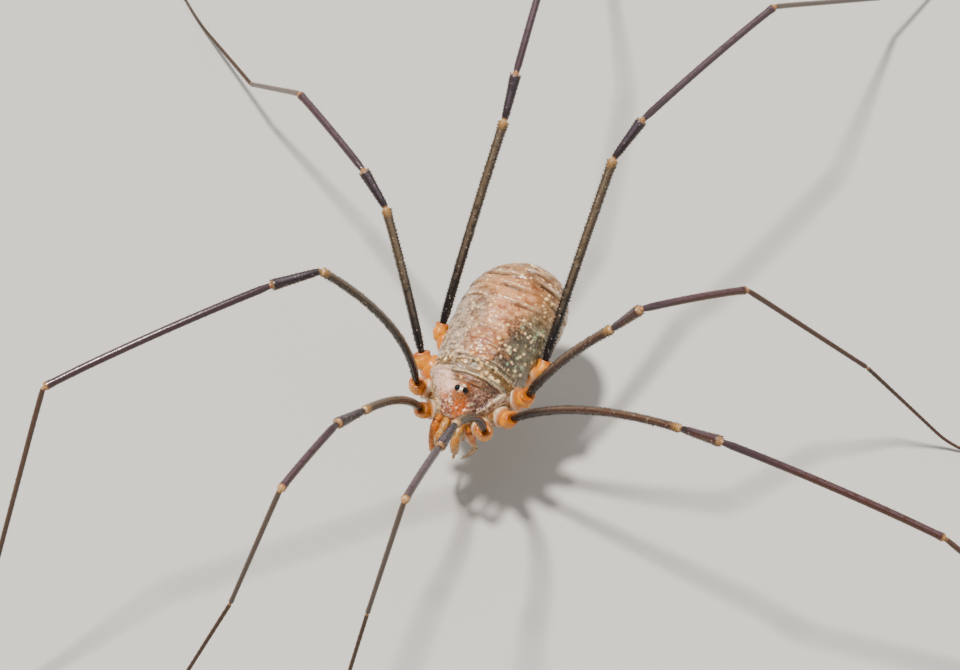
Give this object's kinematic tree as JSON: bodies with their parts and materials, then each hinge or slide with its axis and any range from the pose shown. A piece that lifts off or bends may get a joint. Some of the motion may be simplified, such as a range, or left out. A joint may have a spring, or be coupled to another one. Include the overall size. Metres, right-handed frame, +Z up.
{
  "type": "harvestman",
  "caption": "Life-size still model of a standing harvestman: oval ringed body, eye hump, mouth parts and long thread-like jointed legs with flat soles.",
  "frame": {"origin": "middle of the bounding box of the standing animal, at floor level under its soles", "axes": "+Z up, animal faces -Y, its own left side is at +X"},
  "size_m": [0.0694, 0.0722, 0.0156],
  "materials": {
    "carapace": "pinkish-brown grainy carapace, orange-brown eye hump",
    "abdomen": "pinkish-brown skin with cream spots and pale cross folds, satin",
    "amber": "translucent orange cuticle, satin gloss",
    "eye": "glossy black lens",
    "horn": "pale tan cuticle",
    "leg": "dark violet-brown cuticle, orange-tan at the joints, fine teeth"
  },
  "bodies": {
    "root": {"prosoma": "carapace", "opisthosoma": "abdomen", "ocularium": "carapace", "eye_right": "eye", "eye_left": "eye", "chelicera_right": "horn", "chelicera_left": "horn", "pedipalp_right": "amber", "pedipalp_left": "amber", "leg1_right_coxa": "amber", "leg1_right_femur": "leg", "leg1_right_patella": "leg", "leg1_right_tibia": "leg", "leg1_right_metatarsus": "leg", "leg1_right_tarsus": "leg", "leg2_right_coxa": "amber", "leg2_right_femur": "leg", "leg2_right_patella": "leg", "leg2_right_tibia": "leg", "leg2_right_metatarsus": "leg", "leg2_right_tarsus": "leg", "leg3_right_coxa": "amber", "leg3_right_femur": "leg", "leg3_right_patella": "leg", "leg3_right_tibia": "leg", "leg3_right_metatarsus": "leg", "leg3_right_tarsus": "leg", "leg4_right_coxa": "amber", "leg4_right_femur": "leg", "leg4_right_patella": "leg", "leg4_right_tibia": "leg", "leg4_right_metatarsus": "leg", "leg4_right_tarsus": "leg", "leg1_left_coxa": "amber", "leg1_left_femur": "leg", "leg1_left_patella": "leg", "leg1_left_tibia": "leg", "leg1_left_metatarsus": "leg", "leg1_left_tarsus": "leg", "leg2_left_coxa": "amber", "leg2_left_femur": "leg", "leg2_left_patella": "leg", "leg2_left_tibia": "leg", "leg2_left_metatarsus": "leg", "leg2_left_tarsus": "leg", "leg3_left_coxa": "amber", "leg3_left_femur": "leg", "leg3_left_patella": "leg", "leg3_left_tibia": "leg", "leg3_left_metatarsus": "leg", "leg3_left_tarsus": "leg", "leg4_left_coxa": "amber", "leg4_left_femur": "leg", "leg4_left_patella": "leg", "leg4_left_tibia": "leg", "leg4_left_metatarsus": "leg", "leg4_left_tarsus": "leg"}
  },
  "joints": []
}
